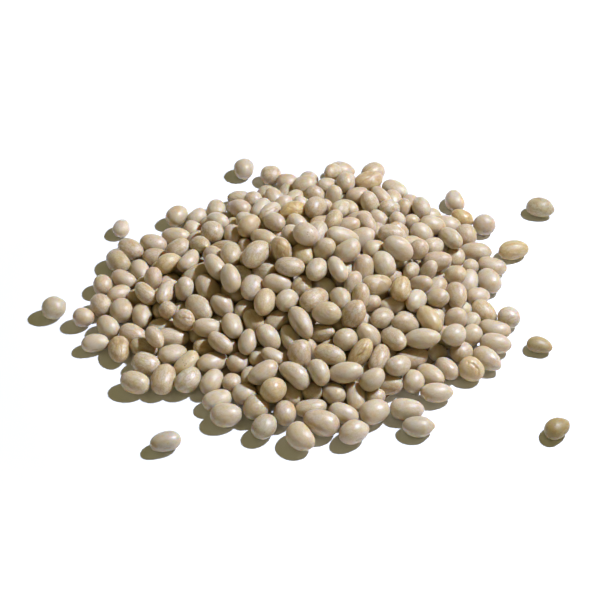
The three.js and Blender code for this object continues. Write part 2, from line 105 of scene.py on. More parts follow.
# %% Beans seen singly
EDGE_BEANS = np.array([
    [-62.5, -10, 1, -0.2, 3.2, 3], [-58, -19.5, 1, 0.1, 4, 2.6], [-50.5, -21.5, 0, 1, 4.5, 2.9],
    [-55, -13.5, 0.6, -0.8, 4.1, 3], [-58, -5, 0.5, -0.9, 4, 3.1], [-45, -34.5, 0.9, -0.3, 4.4, 3.1],
    [-37.5, -33, 0.1, 1, 4.9, 3.2], [-30.5, -33.5, 0.8, 0.6, 4.3, 3.2], [-42.5, -27, 0.8, -0.6, 4.2, 3.1],
    [-24.5, -34, 0.1, 1, 4.3, 2.9], [-22.5, -40, 0.9, 0.4, 4.2, 2.8], [-19.5, -45, 1, -0.1, 4.5, 3.2],
    [-12, -43.5, 0.8, 0.6, 3.9, 3.4], [-9.5, -49, 0.5, 0.9, 3.9, 3.1], [-4, -44.5, 0.1, 1, 4, 3],
    [0.5, -52.5, 0.5, -0.9, 4.5, 3.3], [5.5, -48, 0.9, -0.4, 5, 3.4], [14, -51, 0.8, 0.5, 4.2, 3.2],
    [12, -45, 0.9, -0.4, 4.4, 2.8], [19.5, -43.5, 0.8, 0.5, 4.3, 3.2], [28.5, -43.5, 1, -0.1, 4.7, 2.9],
    [31, -49, 1, 0, 4, 2.8], [37, -37, 1, -0.1, 4.6, 2.8], [30.5, -34, 0, 1, 3.6, 3],
    [23.5, -34.5, 1, 0.1, 4.6, 2.9], [40.5, -28.5, 0.7, -0.7, 4, 2.6], [47, -29.5, 0.9, -0.4, 3.7, 3.3],
    [52, -25.5, 0.6, -0.8, 4.4, 3], [55, -20, 1, -0.2, 4.6, 3], [55.5, -14, 0.9, -0.4, 4.6, 2.8],
    [59.5, -10, 1, 0, 3.4, 3.2], [53, -7, 0.8, -0.6, 4.4, 2.8], [52, -1, 0.9, 0.3, 3.7, 2.7],
    [55.5, 5, 0.4, -0.9, 4.6, 3.2], [57.5, 11.5, 0.9, -0.5, 4.6, 2.8], [53.5, 17.5, 0.9, -0.4, 4.8, 3],
    [50.5, 25, 0.5, -0.9, 3.7, 3.3], [51.5, 33, 0.8, -0.5, 3.7, 2.7], [46, 30, 0.8, -0.6, 4.5, 2.9],
    [41, 34, 0.9, -0.4, 4.1, 2.6], [35, 39.5, 0.4, -0.9, 4.1, 3.1], [30.5, 47, 0.9, -0.5, 4.8, 2.9],
    [24, 54.5, 0.5, 0.9, 4.2, 3.4], [23, 48, 1, 0, 3.7, 2.8], [13.5, 56, 1, -0.1, 4.5, 3.2],
    [8, 49, 0.9, 0.3, 3.3, 2.7], [3.5, 51, 1, 0, 3.2, 3.1], [-4, 49.5, 0.9, -0.4, 3.7, 3.2],
    [-9.5, 54, 1, 0, 3.5, 3.2], [-10.5, 41.5, 0.5, 0.9, 4.8, 3.3], [-18.5, 41, 1, -0.2, 4.8, 2.8],
    [-26, 36.5, 0.4, 0.9, 4.2, 3.1], [-32.5, 33.5, 1, 0.2, 3.6, 2.7], [-38, 33.5, 0.8, 0.6, 3.9, 3.2],
    [-38.5, 24, 1, 0, 4.6, 3], [-45, 20.5, 0.8, -0.6, 4.5, 3.1], [-52, 19, 0.8, -0.6, 4.6, 3],
    [-56, 29, 0, 1, 3.5, 2.5], [-54.5, 13, 0.8, -0.6, 4.8, 3.2], [-58.5, 3.5, 0.2, 1, 3.5, 2.9],
])
INNER_BEANS = np.array([
    [-46.5, -15.5, 1, -0.3, 4.2, 2.7, 0], [-44, -21.5, 0.9, -0.5, 4.1, 2.8, 0],
    [-51, -7.5, 0.5, -0.9, 4, 3.4, 0], [-44.5, -8, -0.1, 1, 4.9, 3, 0],
    [-39, -7.5, 1, 0, 3.3, 2.8, 1], [-38.5, -12.5, 1, 0.3, 4.1, 2.6, 0],
    [-36.5, -18, 1, 0.2, 5.1, 3, 0], [-35.5, -23, 0.9, 0.3, 4.4, 2.8, 0],
    [-32, -27, 0.3, 0.9, 4.4, 2.7, 1], [-52, 0, 1, 0.2, 3.9, 2.7, 0],
    [-51.5, 5, 1, 0.1, 4.2, 2.7, 0], [-46, -1.5, 0.9, -0.5, 3.2, 2.8, 0],
    [-40, -0.5, 0.4, -0.9, 4.2, 2.9, 1], [-38, 4.5, 0.4, -0.9, 4.1, 2.9, 1],
    [-42, 8, 0.3, -1, 3.9, 2.8, 0], [-45.5, 3, 1, 0, 3, 2.7, 0],
    [-43, 14, 1, 0.1, 4.7, 2.9, 0], [-48.5, 9.5, 0.8, -0.6, 4.4, 2.8, 0],
    [-36.5, 18.5, 0.1, 1, 3.4, 2.9, 0], [-35.5, 11.5, 0.9, 0.5, 3.3, 2.7, 1],
    [-31, -15, 0.7, -0.7, 3.5, 2.9, 3], [-28.5, -11, 0.5, -0.8, 5.3, 3.1, 6],
    [41, -18, 0.9, 0.3, 4.1, 3.3, 3], [49, -16, 0.9, -0.5, 3.5, 2.9, 0],
    [49, -10.5, 1, -0.2, 3, 2.5, 0], [44.5, -23, 0.4, -0.9, 3.5, 3.1, 0],
    [42.5, -8.5, 0.9, -0.5, 4, 2.7, 2], [48.5, -6, 0.9, -0.3, 2.9, 2.6, 0],
    [38, -23.5, 1, 0.2, 2.9, 2.5, 0], [44.5, -3, 0.8, 0.6, 4.1, 2.9, 2],
    [50, 4.5, 0.4, -0.9, 4.3, 2.8, 0], [39.5, -1, 0.5, 0.8, 5.4, 3.4, 4],
    [46, 7, 0.5, -0.9, 3.2, 2.6, 0], [46, 13, 0.8, -0.6, 3.5, 2.7, 0],
    [50.5, 11, 0.7, -0.7, 2.9, 2.6, 0], [39.5, 9, 1, 0.2, 4.7, 3.1, 3],
    [45, 21, 0.9, -0.5, 4.5, 2.9, 0], [37, 20, 1, 0, 3.2, 2.8, 1],
    [39, 28.5, 0.9, -0.5, 4.4, 2.8, 0], [36, -30, 0.8, -0.6, 4.5, 2.7, 0],
    [-14.5, -38.5, 0.8, 0.6, 3.5, 2.9, 0], [-18.5, -34, 1, 0, 2.9, 2.6, 0],
    [-8, -37, 1, -0.1, 3.2, 2.4, 0], [3.5, -42.5, 1, 0, 4.4, 2.5, 0],
    [-1.5, -37, 0.3, -0.9, 3.9, 2.7, 0], [4.5, -37.5, 0.1, 1, 3.2, 2.7, 1],
    [14.5, -37.5, 0.8, -0.6, 4.8, 2.7, 1], [21, -37.5, 0.8, -0.5, 2.9, 2.4, 0],
    [18.5, -31.5, 0.8, 0.6, 4.5, 2.8, 2], [25.5, -29, 0.5, -0.9, 3.7, 2.5, 1],
    [-20.5, 36.5, 1, 0.2, 4.2, 2.9, 0], [-23, 31.5, 1, -0.2, 3.5, 2.8, 0],
    [-27.5, 31, 1, 0, 3, 2.8, 0], [-31.5, 28, 1, 0, 3, 2.7, 0],
    [-3, 41, 1, 0.3, 4.7, 3.4, 2], [5.5, 44.5, 1, 0.1, 4.1, 2.9, 0],
    [13, 40, 0.4, 0.9, 3.9, 3.5, 2], [14, 49.5, 1, 0, 3.5, 2.9, 0],
    [21, 42.5, 0.9, -0.3, 3.4, 3, 0], [29, 39, 0.4, -0.9, 4.6, 3.2, 1],
])
STRAY_BEANS = np.array([
    [-71.7, -6.5, 0.8, 0.6, 3.5, 3.3],
    [-18.5, 57, 0.1, 1, 3.8, 3.3],
    [76.5, 38, 1, -0.3, 4.4, 3.2],
    [65.5, 18.5, 1, 0.25, 4.8, 3],
    [67.8, -19.8, 1, -0.3, 3.6, 2.4],
    [68, -49.5, 0.8, 0.6, 3.8, 2.6],
    [-35.2, -54, 1, 0.3, 4.1, 2.7],
    [57.7, 29.5, 1, 0, 3.5, 3.3],
    [49.8, 42, -0.15, 1, 4.3, 2.9],
])
STRAY_CLEARANCE = 0.7
STRAYS = len(STRAY_BEANS)
EDGE_GIVE = 0.06
INNER_GIVE = 0.3
EDGE_ROOM = 4.2

# %% [markdown]
# ## Draws that can be made again
#
# A scatter that changed at every run could not be matched to a solid model made elsewhere. A
# multiplying generator needs only whole numbers, so any program that repeats it gets the same
# draws to the last digit.

# %% Seeded draws
MULTIPLIER = 16807
MODULUS = 2147483647


def draws(seed, *shape):
    """Numbers from 0 to 1: each state is the last one times the multiplier, modulo the modulus,
    which is a prime."""
    state = seed
    values = np.empty(int(np.prod(shape)))
    for n in range(len(values)):
        state = (state * MULTIPLIER) % MODULUS
        values[n] = state / MODULUS
    return values.reshape(shape)


print("first draws:", draws(PLACE_SEED, 3))

# %% [markdown]
# ## Setting the beans out
#
# Beans could be dropped one by one in a rigid-body simulation, but that takes minutes and differs
# from machine to machine. Here they start on a loose lattice, kept where it lies inside the
# outline and under a mound, and a short settling then packs them.

# %% The loose lattice
TINY = 1e-12


def long_of(vectors):
    """Length of each vector."""
    x, y, z = vectors[..., 0], vectors[..., 1], vectors[..., 2]
    return np.sqrt(x * x + y * y + z * z)


def unit(vectors):
    """Each vector made 1 long."""
    return vectors / long_of(vectors)[..., None]


def outline_radius(x, y):
    """Radius of the outline towards a point, easing from one of the 24 places to the next. Each
    quarter turn is measured by y / (x + y)."""
    share = np.abs(y) / (np.abs(x) + np.abs(y) + TINY)
    upper = np.where(x >= 0, share, 2 - share)
    lower = np.where(x < 0, 2 + share, 4 - share)
    place = np.where(y >= 0, upper, lower) * (len(OUTLINE) / 4)
    before = np.floor(place)
    part = place - before
    eased = part * part * (3 - 2 * part)
    at = before.astype(int)
    return OUTLINE[at % len(OUTLINE)] * (1 - eased) + OUTLINE[(at + 1) % len(OUTLINE)] * eased


def placed_beans(rows):
    """Beans given one by one, lying level on the ground or lifted off it."""
    level = np.zeros(len(rows))
    lift = rows[:, 6] if rows.shape[1] > 6 else level
    centres = np.column_stack([rows[:, 0], rows[:, 1], rows[:, 5] + lift])
    axes = np.column_stack([rows[:, 2], rows[:, 3], level])
    return centres, axes, rows[:, 4], rows[:, 5]


def lattice_places():
    """Points of a triangular lattice, shifted from layer to layer and shaken a little, that lie
    inside the ragged outline and under apron + crown * rest ** 1.5, where rest falls from 1 at
    the apex to 0 at the outline. The bottom layer is kept whole."""
    span = np.arange(-LATTICE_SPAN, LATTICE_SPAN + 1)
    layer = np.arange(LAYERS)[:, None, None]
    row = span[None, :, None]
    column = span[None, None, :]
    shift = draws(SHIFT_SEED, LAYERS, 2) * PITCH
    shake = draws(PLACE_SEED, LAYERS, len(span), len(span), 4)
    shift_x = shift[:, 0][:, None, None]
    shift_y = shift[:, 1][:, None, None]
    x = (column + 0.5 * (np.abs(row) % 2)) * PITCH + shift_x + (shake[..., 0] - 0.5) * SCATTER
    y = row * PITCH * ROW_STEP + shift_y + (shake[..., 1] - 0.5) * SCATTER
    z = FIRST_LAYER + layer * LAYER_STEP + (shake[..., 2] - 0.5) * SCATTER
    reach = outline_radius(x, y) * (RAGGED[0] + (RAGGED[1] - RAGGED[0]) * shake[..., 3])
    out_x = x - APEX[0]
    out_y = y - APEX[1]
    rest = np.maximum(1 - np.sqrt(out_x * out_x + out_y * out_y) / reach, 0)
    below = z < APRON_HEIGHT + CROWN_HEIGHT * rest * np.sqrt(rest)
    kept = (np.sqrt(x * x + y * y) < reach) & ((layer == 0) | below)
    places = np.stack([x[kept], y[kept], z[kept]], axis=1)
    placed = np.concatenate([placed_beans(EDGE_BEANS)[0], placed_beans(INNER_BEANS)[0]])
    return places[(long_of(places[:, None] - placed[None]) > EDGE_ROOM).all(axis=1)]


# %% Centres, long axes and sizes before settling
def lattice_beans():
    """Beans on the lattice: any direction but nearer to level, and sizes drawn round the mean."""
    centres = lattice_places()
    d = draws(SHAPE_SEED, len(centres), 9)
    whole = d[:, 3] + d[:, 4] - 1
    thicker = (d[:, 7] + d[:, 8] - 1) * GIRTH_ALONE + whole * SIZE_SHARE
    girth = HALF_GIRTH + GIRTH_SPREAD * thicker
    longer = (d[:, 5] + d[:, 6] - 1) * LENGTH_ALONE + whole * SIZE_SHARE
    length = HALF_LENGTH + LENGTH_SPREAD * longer
    axes = np.column_stack([d[:, 0] * 2 - 1, d[:, 1] * 2 - 1, (d[:, 2] * 2 - 1) * LEVEL_LEAN])
    return centres, axes, np.maximum(length, girth * LEAST_STRETCH), girth


placed_groups = [placed_beans(rows) for rows in (STRAY_BEANS, EDGE_BEANS, INNER_BEANS)]
groups = placed_groups + [lattice_beans()]
centre, axis, half_length, half_girth = (np.concatenate(part) for part in zip(*groups))
axis = unit(axis)
print("beans set out:", len(centre))

# %% [markdown]
# ## Letting them settle
#
# Each bean is stood in for by three balls on its long axis. In every step the beans sink a
# little, balls that overlap push their beans apart, and nothing goes below the ground. Taking
# part of each sideways move back acts as friction and keeps the heap from spreading flat.

# %% Settling
FALL_STEPS = 120
FALL = 0.12
SWEEPS_A_STEP = 4
REST_SWEEPS = 40
PUSH_SHARE = 0.25
GRIP = 0.5
NEIGHBOUR_EVERY = 5
NEIGHBOUR_REACH = 1
LEAST_OFFSET = 0.4


def neighbours(middle, reach):
    """Pairs of beans near enough to touch soon."""
    apart = long_of(middle[:, None] - middle[None])
    return np.nonzero(np.triu(apart < reach[:, None] + reach[None] + NEIGHBOUR_REACH, 1))


def pushes(balls, radii, first, second):
    """Move of each ball: a share of each overlap, along the line between the two middles."""
    push = np.zeros_like(balls)
    for p in range(3):
        for q in range(3):
            line = balls[first, p] - balls[second, q]
            gap = long_of(line) + TINY
            overlap = radii[first, p] + radii[second, q] - gap
            move = np.where(overlap > 0, PUSH_SHARE * overlap / gap, 0)[:, None] * line
            np.add.at(push[:, p], first, move)
            np.add.at(push[:, q], second, -move)
    return push


def sweep(head, tail, offset, radii, give, pairs):
    """One round of pushes, after which each bean is made rigid again and lifted off the ground."""
    balls = np.stack([head, (head + tail) / 2, tail], axis=1)
    push = pushes(balls, radii, *pairs)
    head = head + (push[:, 0] + push[:, 1]) * give
    tail = tail + (push[:, 2] + push[:, 1]) * give
    middle = (head + tail) / 2
    along = unit(head - tail) * offset[:, None]
    head = middle + along
    tail = middle - along
    head[:, 2] = np.maximum(head[:, 2], radii[:, 0])
    tail[:, 2] = np.maximum(tail[:, 2], radii[:, 2])
    lift = np.maximum(radii[:, 1] - (head[:, 2] + tail[:, 2]) / 2, 0)
    head[:, 2] += lift
    tail[:, 2] += lift
    return head, tail


def settle(centre, axis, half_length, half_girth):
    """Centres and long axes at rest. The stray beans stay put, with a clear space round them."""
    loose = np.arange(len(centre)) >= STRAYS
    give = np.ones((len(centre), 1))
    give[:STRAYS + len(EDGE_BEANS) + len(INNER_BEANS)] = INNER_GIVE
    give[:STRAYS + len(EDGE_BEANS)] = EDGE_GIVE
    moving = loose[:, None]
    end = END_GIRTH * half_girth
    offset = np.maximum(half_length - end, LEAST_OFFSET)
    clear = np.where(loose, 0.0, STRAY_CLEARANCE)
    radii = np.stack([end + clear, half_girth + clear, end + clear], axis=1)
    head = centre + axis * offset[:, None]
    tail = centre - axis * offset[:, None]
    for step in range(FALL_STEPS + REST_SWEEPS):
        falling = step < FALL_STEPS
        if step % NEIGHBOUR_EVERY == 0:
            pairs = neighbours((head + tail) / 2, offset + radii[:, 0])
        start = (head + tail) / 2
        if falling:
            head[loose, 2] -= FALL
            tail[loose, 2] -= FALL
        for _ in range(SWEEPS_A_STEP if falling else 1):
            new_head, new_tail = sweep(head, tail, offset, radii, give, pairs)
            head = np.where(moving, new_head, head)
            tail = np.where(moving, new_tail, tail)
        if falling:
            back = np.where(moving, ((head + tail) / 2 - start)[:, :2] * GRIP, 0)
            head[:, :2] -= back
            tail[:, :2] -= back
    return (head + tail) / 2, unit(head - tail)


centre, axis = settle(centre, axis, half_length, half_girth)
print("top of the heap, mm:", round(float((centre[:, 2] + half_girth).max()), 2))

# %% [markdown]
# ## The ball that every bean starts from
#
# A ball made of rings has a pinched pole at each end. Six square grids wrapped onto a ball have
# no pole, and their faces are nearly even, which a Subdivision modifier likes. A few dozen
# faces are enough for a smooth bean; a wrinkled one needs many more.

# %% A ball of six square grids
def ball(cuts):
    """Points and quads of a unit ball. On each face of a cube two parameters u and v run from
    -1 to 1, their tangents spread them evenly, and every point is pulled in to distance 1.
    Points on shared edges are merged, so the ball is closed."""
    t = np.tan(np.linspace(-1, 1, cuts + 1) * math.pi / 4)
    u, v = (g.ravel() for g in np.meshgrid(t, t, indexing="ij"))
    one = np.ones_like(u)
    sides = [(one, u, v), (-one, v, u), (v, one, u), (u, -one, v), (u, v, one), (v, u, -one)]
    points = unit(np.concatenate([np.column_stack(side) for side in sides]))
    corner = (np.arange(cuts)[:, None] * (cuts + 1) + np.arange(cuts)[None]).ravel()
    quad = np.column_stack([corner, corner + cuts + 1, corner + cuts + 2, corner + 1])
    quads = np.concatenate([quad + k * (cuts + 1) ** 2 for k in range(6)])
    _, first, same = np.unique(np.round(points, 6), axis=0, return_index=True,
                               return_inverse=True)
    return points[first], same.ravel()[quads]


PLAIN_CUTS = 3
FINE_CUTS = 14
WRINKLE_CUTS = 20
plain_ball = ball(PLAIN_CUTS)
fine_ball = ball(FINE_CUTS)
wrinkle_ball = ball(WRINKLE_CUTS)
print("faces of a bean:", [len(made[1]) for made in (plain_ball, fine_ball, wrinkle_ball)])


# %% Putting points, faces and values into a mesh
def new_piece(name, points, faces, material, values=None):
    """A smooth mesh object at the origin. values holds a number, a vector or a colour for each
    point, which the material reads by name."""
    mesh = bpy.data.meshes.new(name)
    mesh.from_pydata((points * MM).tolist(), [], faces)
    kinds = {1: ("FLOAT", "value"), 3: ("FLOAT_VECTOR", "vector"), 4: ("FLOAT_COLOR", "color")}
    for label, data in (values or {}).items():
        kind, field = kinds[data.shape[1]]
        layer = mesh.attributes.new(label, kind, "POINT")
        layer.data.foreach_set(field, data.astype(np.float32).ravel())
    mesh.polygons.foreach_set("use_smooth", np.ones(len(mesh.polygons), dtype=bool))
    mesh.materials.append(material)
    mesh.update()
    piece = bpy.data.objects.new(name, mesh)
    bpy.context.scene.collection.objects.link(piece)
    return piece


def subdivide(piece, levels):
    """A Subdivision modifier that is the same in the view and in the render."""
    smooth = piece.modifiers.new("smooth", "SUBSURF")
    smooth.levels = levels
    smooth.render_levels = levels
    return smooth


# %% [markdown]
# Subdividing a coarse cage draws it in, so a bean would come out too small. The shrinkage is
# measured once, on a unit ball, and every cage is then made that much larger.

# %% Measuring the shrinkage
SMOOTH_LEVELS = 1
gauge_material = bpy.data.materials.new("gauge")
gauge = new_piece("gauge", plain_ball[0] / MM, plain_ball[1].tolist(), gauge_material)
subdivide(gauge, SMOOTH_LEVELS)
smoothed = gauge.evaluated_get(bpy.context.evaluated_depsgraph_get()).to_mesh()
smoothed_points = np.empty(len(smoothed.vertices) * 3, dtype=np.float32)
smoothed.vertices.foreach_get("co", smoothed_points)
CAGE_SWELL = 1 / float(long_of(smoothed_points.reshape(-1, 3)).mean())
bpy.data.objects.remove(gauge)
bpy.data.materials.remove(gauge_material)
print("cages are made larger by", round(CAGE_SWELL, 4))

# %% [markdown]
# ## The shape of a bean
#
# A bean is a drawn-out ball, a little wider than it is thick, often fuller at one end than at the
# other, and bent towards its scar, where it is slightly hollow. No two are alike, so each of
# these traits is drawn for each bean, and a few slow waves leave every bean a little lumpy.

# %% Traits of each bean
BEANS = len(centre)
LUCK_COLUMNS = 40
KIND_DRAW = 5
MORE_DRAW = 6
HOLLOW_DRAW = 7
KIND_STARTS = {"kidney": 0.7, "beaked": 0.87, "wrinkled": 0.955}
KIDNEY_BLUNTER = 0.06
luck = draws(LOOK_SEED, BEANS, LUCK_COLUMNS)


def spread(column, low, high):
    """A trait drawn evenly between two values."""
    return low + (high - low) * luck[:, column]


trait = {
    "bend": spread(0, 0.0, 0.08),
    "taper": spread(1, -0.13, 0.13),
    "blunt": spread(2, -0.07, 0.13),
    "hollow": spread(3, 0.0, 0.08),
    "wide": spread(4, 1.0, 1.1),
    "beak": np.zeros(BEANS),
}
kind = np.full(BEANS, "plump", dtype=object)
for label, start in KIND_STARTS.items():
    kind[luck[:, KIND_DRAW] > start] = label
kidney = kind == "kidney"
beaked = kind == "beaked"
trait["bend"][kidney] = spread(MORE_DRAW, 0.08, 0.16)[kidney]
trait["hollow"][kidney] = spread(HOLLOW_DRAW, 0.14, 0.34)[kidney]
trait["blunt"][kidney] += KIDNEY_BLUNTER
trait["beak"][beaked] = spread(MORE_DRAW, 0.07, 0.17)[beaked]
print("drawn as kidney-shaped:", int(kidney.sum()), "with a beak:", int(beaked.sum()))

# %% [markdown]
# ## Wrinkled skins
#
# Where a bean dried too fast its coat stands in folds. Four sorts turn up in this heap: rings
# like those of a fingerprint, a net of cracks, a crease with folds running into it, and a few
# thin grooves. Bump alone would leave their outlines smooth, so they are shaped, on a finer
# grid. Those that stand out are named by their row in the rim or their place in the heap.

# %% The wrinkled beans and their sorts
SORTS = np.array(["rippled", "cracked", "grooved", "creased"], dtype=object)
SORT_STARTS = [0.45, 0.8, 0.9]
HEAP_START = STRAYS + len(EDGE_BEANS) + len(INNER_BEANS)
EDGE_WRINKLES = {2: "cracked", 12: "rippled", 26: "creased"}
EDGE_BEAKS = {21: 0.3, 17: 0.1, 42: 0.16, 44: 0.14}
HEAP_WRINKLES = [
    (8, -18, "rippled"), (-2, 24, "cracked"), (-4, 5, "cracked"), (21, -5, "cracked"),
    (28, -8, "grooved"), (-22, 15, "rippled"), (-32, -16, "creased")]
ASIDE_COST = 3


def bean_at(x, y):
    """The bean of the heap that shows at a place: high up, and not far to the side."""
    aside = np.hypot(centre[:, 0] - x, centre[:, 1] - y)
    score = centre[:, 2] - ASIDE_COST * aside
    score[:STRAYS] = -np.inf
    return int(score.argmax())


wrinkle = np.full(BEANS, "smooth", dtype=object)
wrinkled = kind == "wrinkled"
wrinkle[wrinkled] = SORTS[np.searchsorted(SORT_STARTS, luck[wrinkled, MORE_DRAW])]
placed_ones = np.arange(BEANS) < HEAP_START
kind[placed_ones & wrinkled] = "plump"
wrinkle[placed_ones] = "smooth"
for row, sort in EDGE_WRINKLES.items():
    kind[STRAYS + row] = "wrinkled"
    wrinkle[STRAYS + row] = sort
for row, beak in EDGE_BEAKS.items():
    kind[STRAYS + row] = "beaked"
    trait["beak"][STRAYS + row] = beak
for x, y, sort in HEAP_WRINKLES:
    kind[bean_at(x, y)] = "wrinkled"
    wrinkle[bean_at(x, y)] = sort
print("wrinkled beans:", {sort: int((wrinkle == sort).sum()) for sort in SORTS})

# %% [markdown]
# Each sort gives, at a point of the unit ball, how far the skin stands out as a part of the
# girth, and how much painted shade lies in its hollows, from 0 to 1. Widths and reaches are
# distances on the ball.

# %% The relief of each sort
# After each depth comes how much painted shade lies in that sort's hollows.
RING_COUNT = 26
RING_DEPTH = 0.017
RING_SHADE = 0.4
RING_REACH = 0.8
CRACK_CELLS = 42
CRACK_DEPTH = 0.055
CRACK_SHADE = 0.85
CRACK_WIDTH = 0.075
CRACK_REACH = 1.25
CREASE_DEPTH = 0.085
CREASE_SHADE = 0.8
CREASE_WIDTH = 0.09
CREASE_REACH = 0.75
FOLD_DEPTH = 0.025
FOLD_SHADE = 0.35
FOLD_REACH = 0.5
GROOVE_COUNT = 5
GROOVE_DEPTH = 0.026
GROOVE_SHADE = 0.75


def away_from(p, toward):
    """Distance of each point of the ball from each bean's own direction."""
    return long_of(p[None] - toward[:, None])


def rippled(p, toward, which):
    """Rings round a point, dying out away from it: the sine of count * distance, with a slow
    wobble."""
    away = away_from(p, toward)
    wobble = 1.6 * np.sin(p[:, 0] * 4 + which[:, None]) + np.sin(p[:, 1] * 7)
    wave = np.sin(away * RING_COUNT + wobble)
    near = np.exp(-(away / RING_REACH) ** 2)
    # The second value is painted shade in the troughs between the rings.
    return RING_DEPTH * wave * near, RING_SHADE * np.maximum(-wave, 0) * near


def cracked(p, toward, which):
    """Seams of a net: for points strewn over the ball, the difference between the distances to
    the nearest and the second nearest is 0 on a seam."""
    angle = np.arange(1, CRACK_CELLS + 1)
    seeds = np.stack([np.sin(angle * 2.4), np.cos(angle * 2.4), np.sin(angle * 1.7 + 1)], axis=1)
    wobble = 0.35 * np.sin(which[:, None, None] * 1.3 + seeds[None] * 5)
    seeds = unit(seeds[None] + wobble)
    apart = np.sort(long_of(p[None, :, None] - seeds[:, None]), axis=2)
    net = np.exp(-((apart[..., 1] - apart[..., 0]) / CRACK_WIDTH) ** 2)
    near = np.exp(-(away_from(p, toward) / CRACK_REACH) ** 4)
    # The second value is painted shade along the cracks.
    return -CRACK_DEPTH * net * near, CRACK_SHADE * net * near


def creased(p, toward, which):
    """A wavy crease over the top: a bell curve of the distance from a plane along the bean, with
    folds that cross it at right angles and fade away from it."""
    square = unit(np.cross(toward, np.array([1.0, 0.25, 0.0])))
    waver = 0.13 * np.sin(p[:, 0] * 4 + which[:, None]) + 0.05 * np.sin(p[:, 0] * 11)
    aside = square @ p.T + waver
    near = np.exp(-(away_from(p, toward) / CREASE_REACH) ** 4)
    groove = np.exp(-(aside / CREASE_WIDTH) ** 2) * near
    folds = np.sin(p[:, 0] * 17 + 6 * aside) * np.exp(-(aside / FOLD_REACH) ** 2) * near
    # Painted shade in the crease and in the troughs of the folds.
    hollow_shade = CREASE_SHADE * groove + FOLD_SHADE * np.maximum(-folds, 0)
    return FOLD_DEPTH * folds - CREASE_DEPTH * groove, hollow_shade


def grooved(p, toward, which):
    """A few thin grooves along the bean, from one end to the other: a power of a sine of the
    turn round the long axis, which leaves narrow lines between wide plain bands."""
    around = np.arctan2(p[:, 2], p[:, 1])
    wave = np.sin(around * GROOVE_COUNT + 1.2 * np.sin(p[:, 0] * 1.8 + which[:, None]))
    line = np.maximum(wave, 0) ** 10 * (1 - p[:, 0] ** 2)
    # The second value is painted shade in the grooves.
    return -GROOVE_DEPTH * line, GROOVE_SHADE * line


RELIEF = {"rippled": rippled, "cracked": cracked, "creased": creased, "grooved": grooved}

# %% [markdown]
# The stray beans can be seen from all round, so their traits are given one by one: the first is
# round with a tiny beak, the fourth has thin grooves, the fifth and sixth are small, tan and a
# little shrivelled, and the last is full at one end and hollow at its side like a kidney.

# %% Traits of the stray beans
STRAY_TRAITS = {
    "bend": [0.0, 0.02, 0.04, 0.03, 0.07, 0.03, 0.04, 0.01, 0.12],
    "taper": [0.03, 0.04, -0.05, -0.03, -0.1, -0.12, 0.03, 0.0, -0.14],
    "blunt": [0.02, 0.03, 0.03, -0.02, 0.06, 0.02, 0.08, 0.02, 0.06],
    "hollow": [0.0, 0.03, 0.04, 0.04, 0.12, 0.05, 0.04, 0.02, 0.34],
    "wide": [1.0, 1.02, 1.04, 1.06, 1.14, 1.08, 1.04, 1.0, 1.04],
    "beak": [0.14, 0.0, 0.09, 0.0, 0.05, 0.13, 0.0, 0.0, 0.0],
}
GROOVED_STRAY = 3
for label, row in STRAY_TRAITS.items():
    trait[label][:STRAYS] = row
kind[:STRAYS] = "stray"
wrinkle[:STRAYS] = "smooth"
wrinkle[GROOVED_STRAY] = "grooved"
print("traits given to stray beans:", list(STRAY_TRAITS))

# %% [markdown]
# A bean on level ground rests on its broad side, with its thin direction upright, and in the
# heap beans are tipped at random: upright plus a random lean, made square to the long axis. Few
# scars show in the photograph, so nearly every bean has its back up and its scar down or away.

# %% Each bean's own axes
ABOVE = np.array([0.0, -0.45, 0.9])
SCAR_DOWN_SHARE = 0.93
LEAN_DRAW = 30
TURN_DRAW = 33
LEAN_ON_GROUND = 0.25
LEAN_IN_HEAP = 2.2
GROUND_SLACK = 0.2


def own_axes(which):
    """The long axis, the direction from the scar to the back, and the thin direction."""
    along = axis[which]
    on_ground = centre[which, 2] < half_girth[which] + GROUND_SLACK
    most = np.where(on_ground, LEAN_ON_GROUND, LEAN_IN_HEAP)[:, None]
    lean = (luck[which, LEAN_DRAW:LEAN_DRAW + 3] - 0.5) * most
    thin = np.array([0.0, 0.0, 1.0]) + lean
    thin = unit(thin - along * (thin * along).sum(1)[:, None])
    side = np.cross(thin, along)
    back_up = side @ ABOVE > 0
    turn = np.where(back_up == (luck[which, TURN_DRAW] < SCAR_DOWN_SHARE), 1, -1)
    turn = np.where(which < STRAYS, 1, turn)
    side = side * turn[:, None]
    return np.stack([along, side, np.cross(along, side)], axis=1), on_ground


# %% The form of a bean
HEAP_STRETCH = 1.02
HEAP_SLIMNESS = 0.985
LUMP_WAVES = 4
LUMP_DRAW = 10
LUMP_SWING = 6
LUMP_HEIGHT = 0.015
FOLDS_FACE = ABOVE + np.array([0.15, 0, 0])
SCAR_LENGTH = 0.36
SCAR_WIDTH = 0.55
BEAK_POWER = 14
BEND_MIDDLE = 0.33


def lumps(p, which):
    """A few slow waves over the ball: 1 + the sum of small sines of direction . point + phase."""
    swell = np.ones((len(which), len(p)))
    for wave in range(LUMP_WAVES):
        column = LUMP_DRAW + wave * 4
        direction = (luck[which, column:column + 3] - 0.5) * LUMP_SWING
        phase = luck[which, column + 3][:, None] * 2 * math.pi
        swell += LUMP_HEIGHT * np.sin(direction @ p.T + phase)
    return swell


def folds_of(p, which, basis):
    """Relief and painted shade in the hollows of the wrinkled beans among the chosen ones, and 0
    for the rest. The folds lie about the side of the bean that looks up and forward."""
    relief = np.zeros((len(which), len(p)))
    hollow_shade = np.zeros((len(which), len(p)))
    toward = unit(basis @ FOLDS_FACE)
    for sort, shape in RELIEF.items():
        some = wrinkle[which] == sort
        if some.any():
            relief[some], hollow_shade[some] = shape(p, toward[some], which[some])
    return relief, hollow_shade


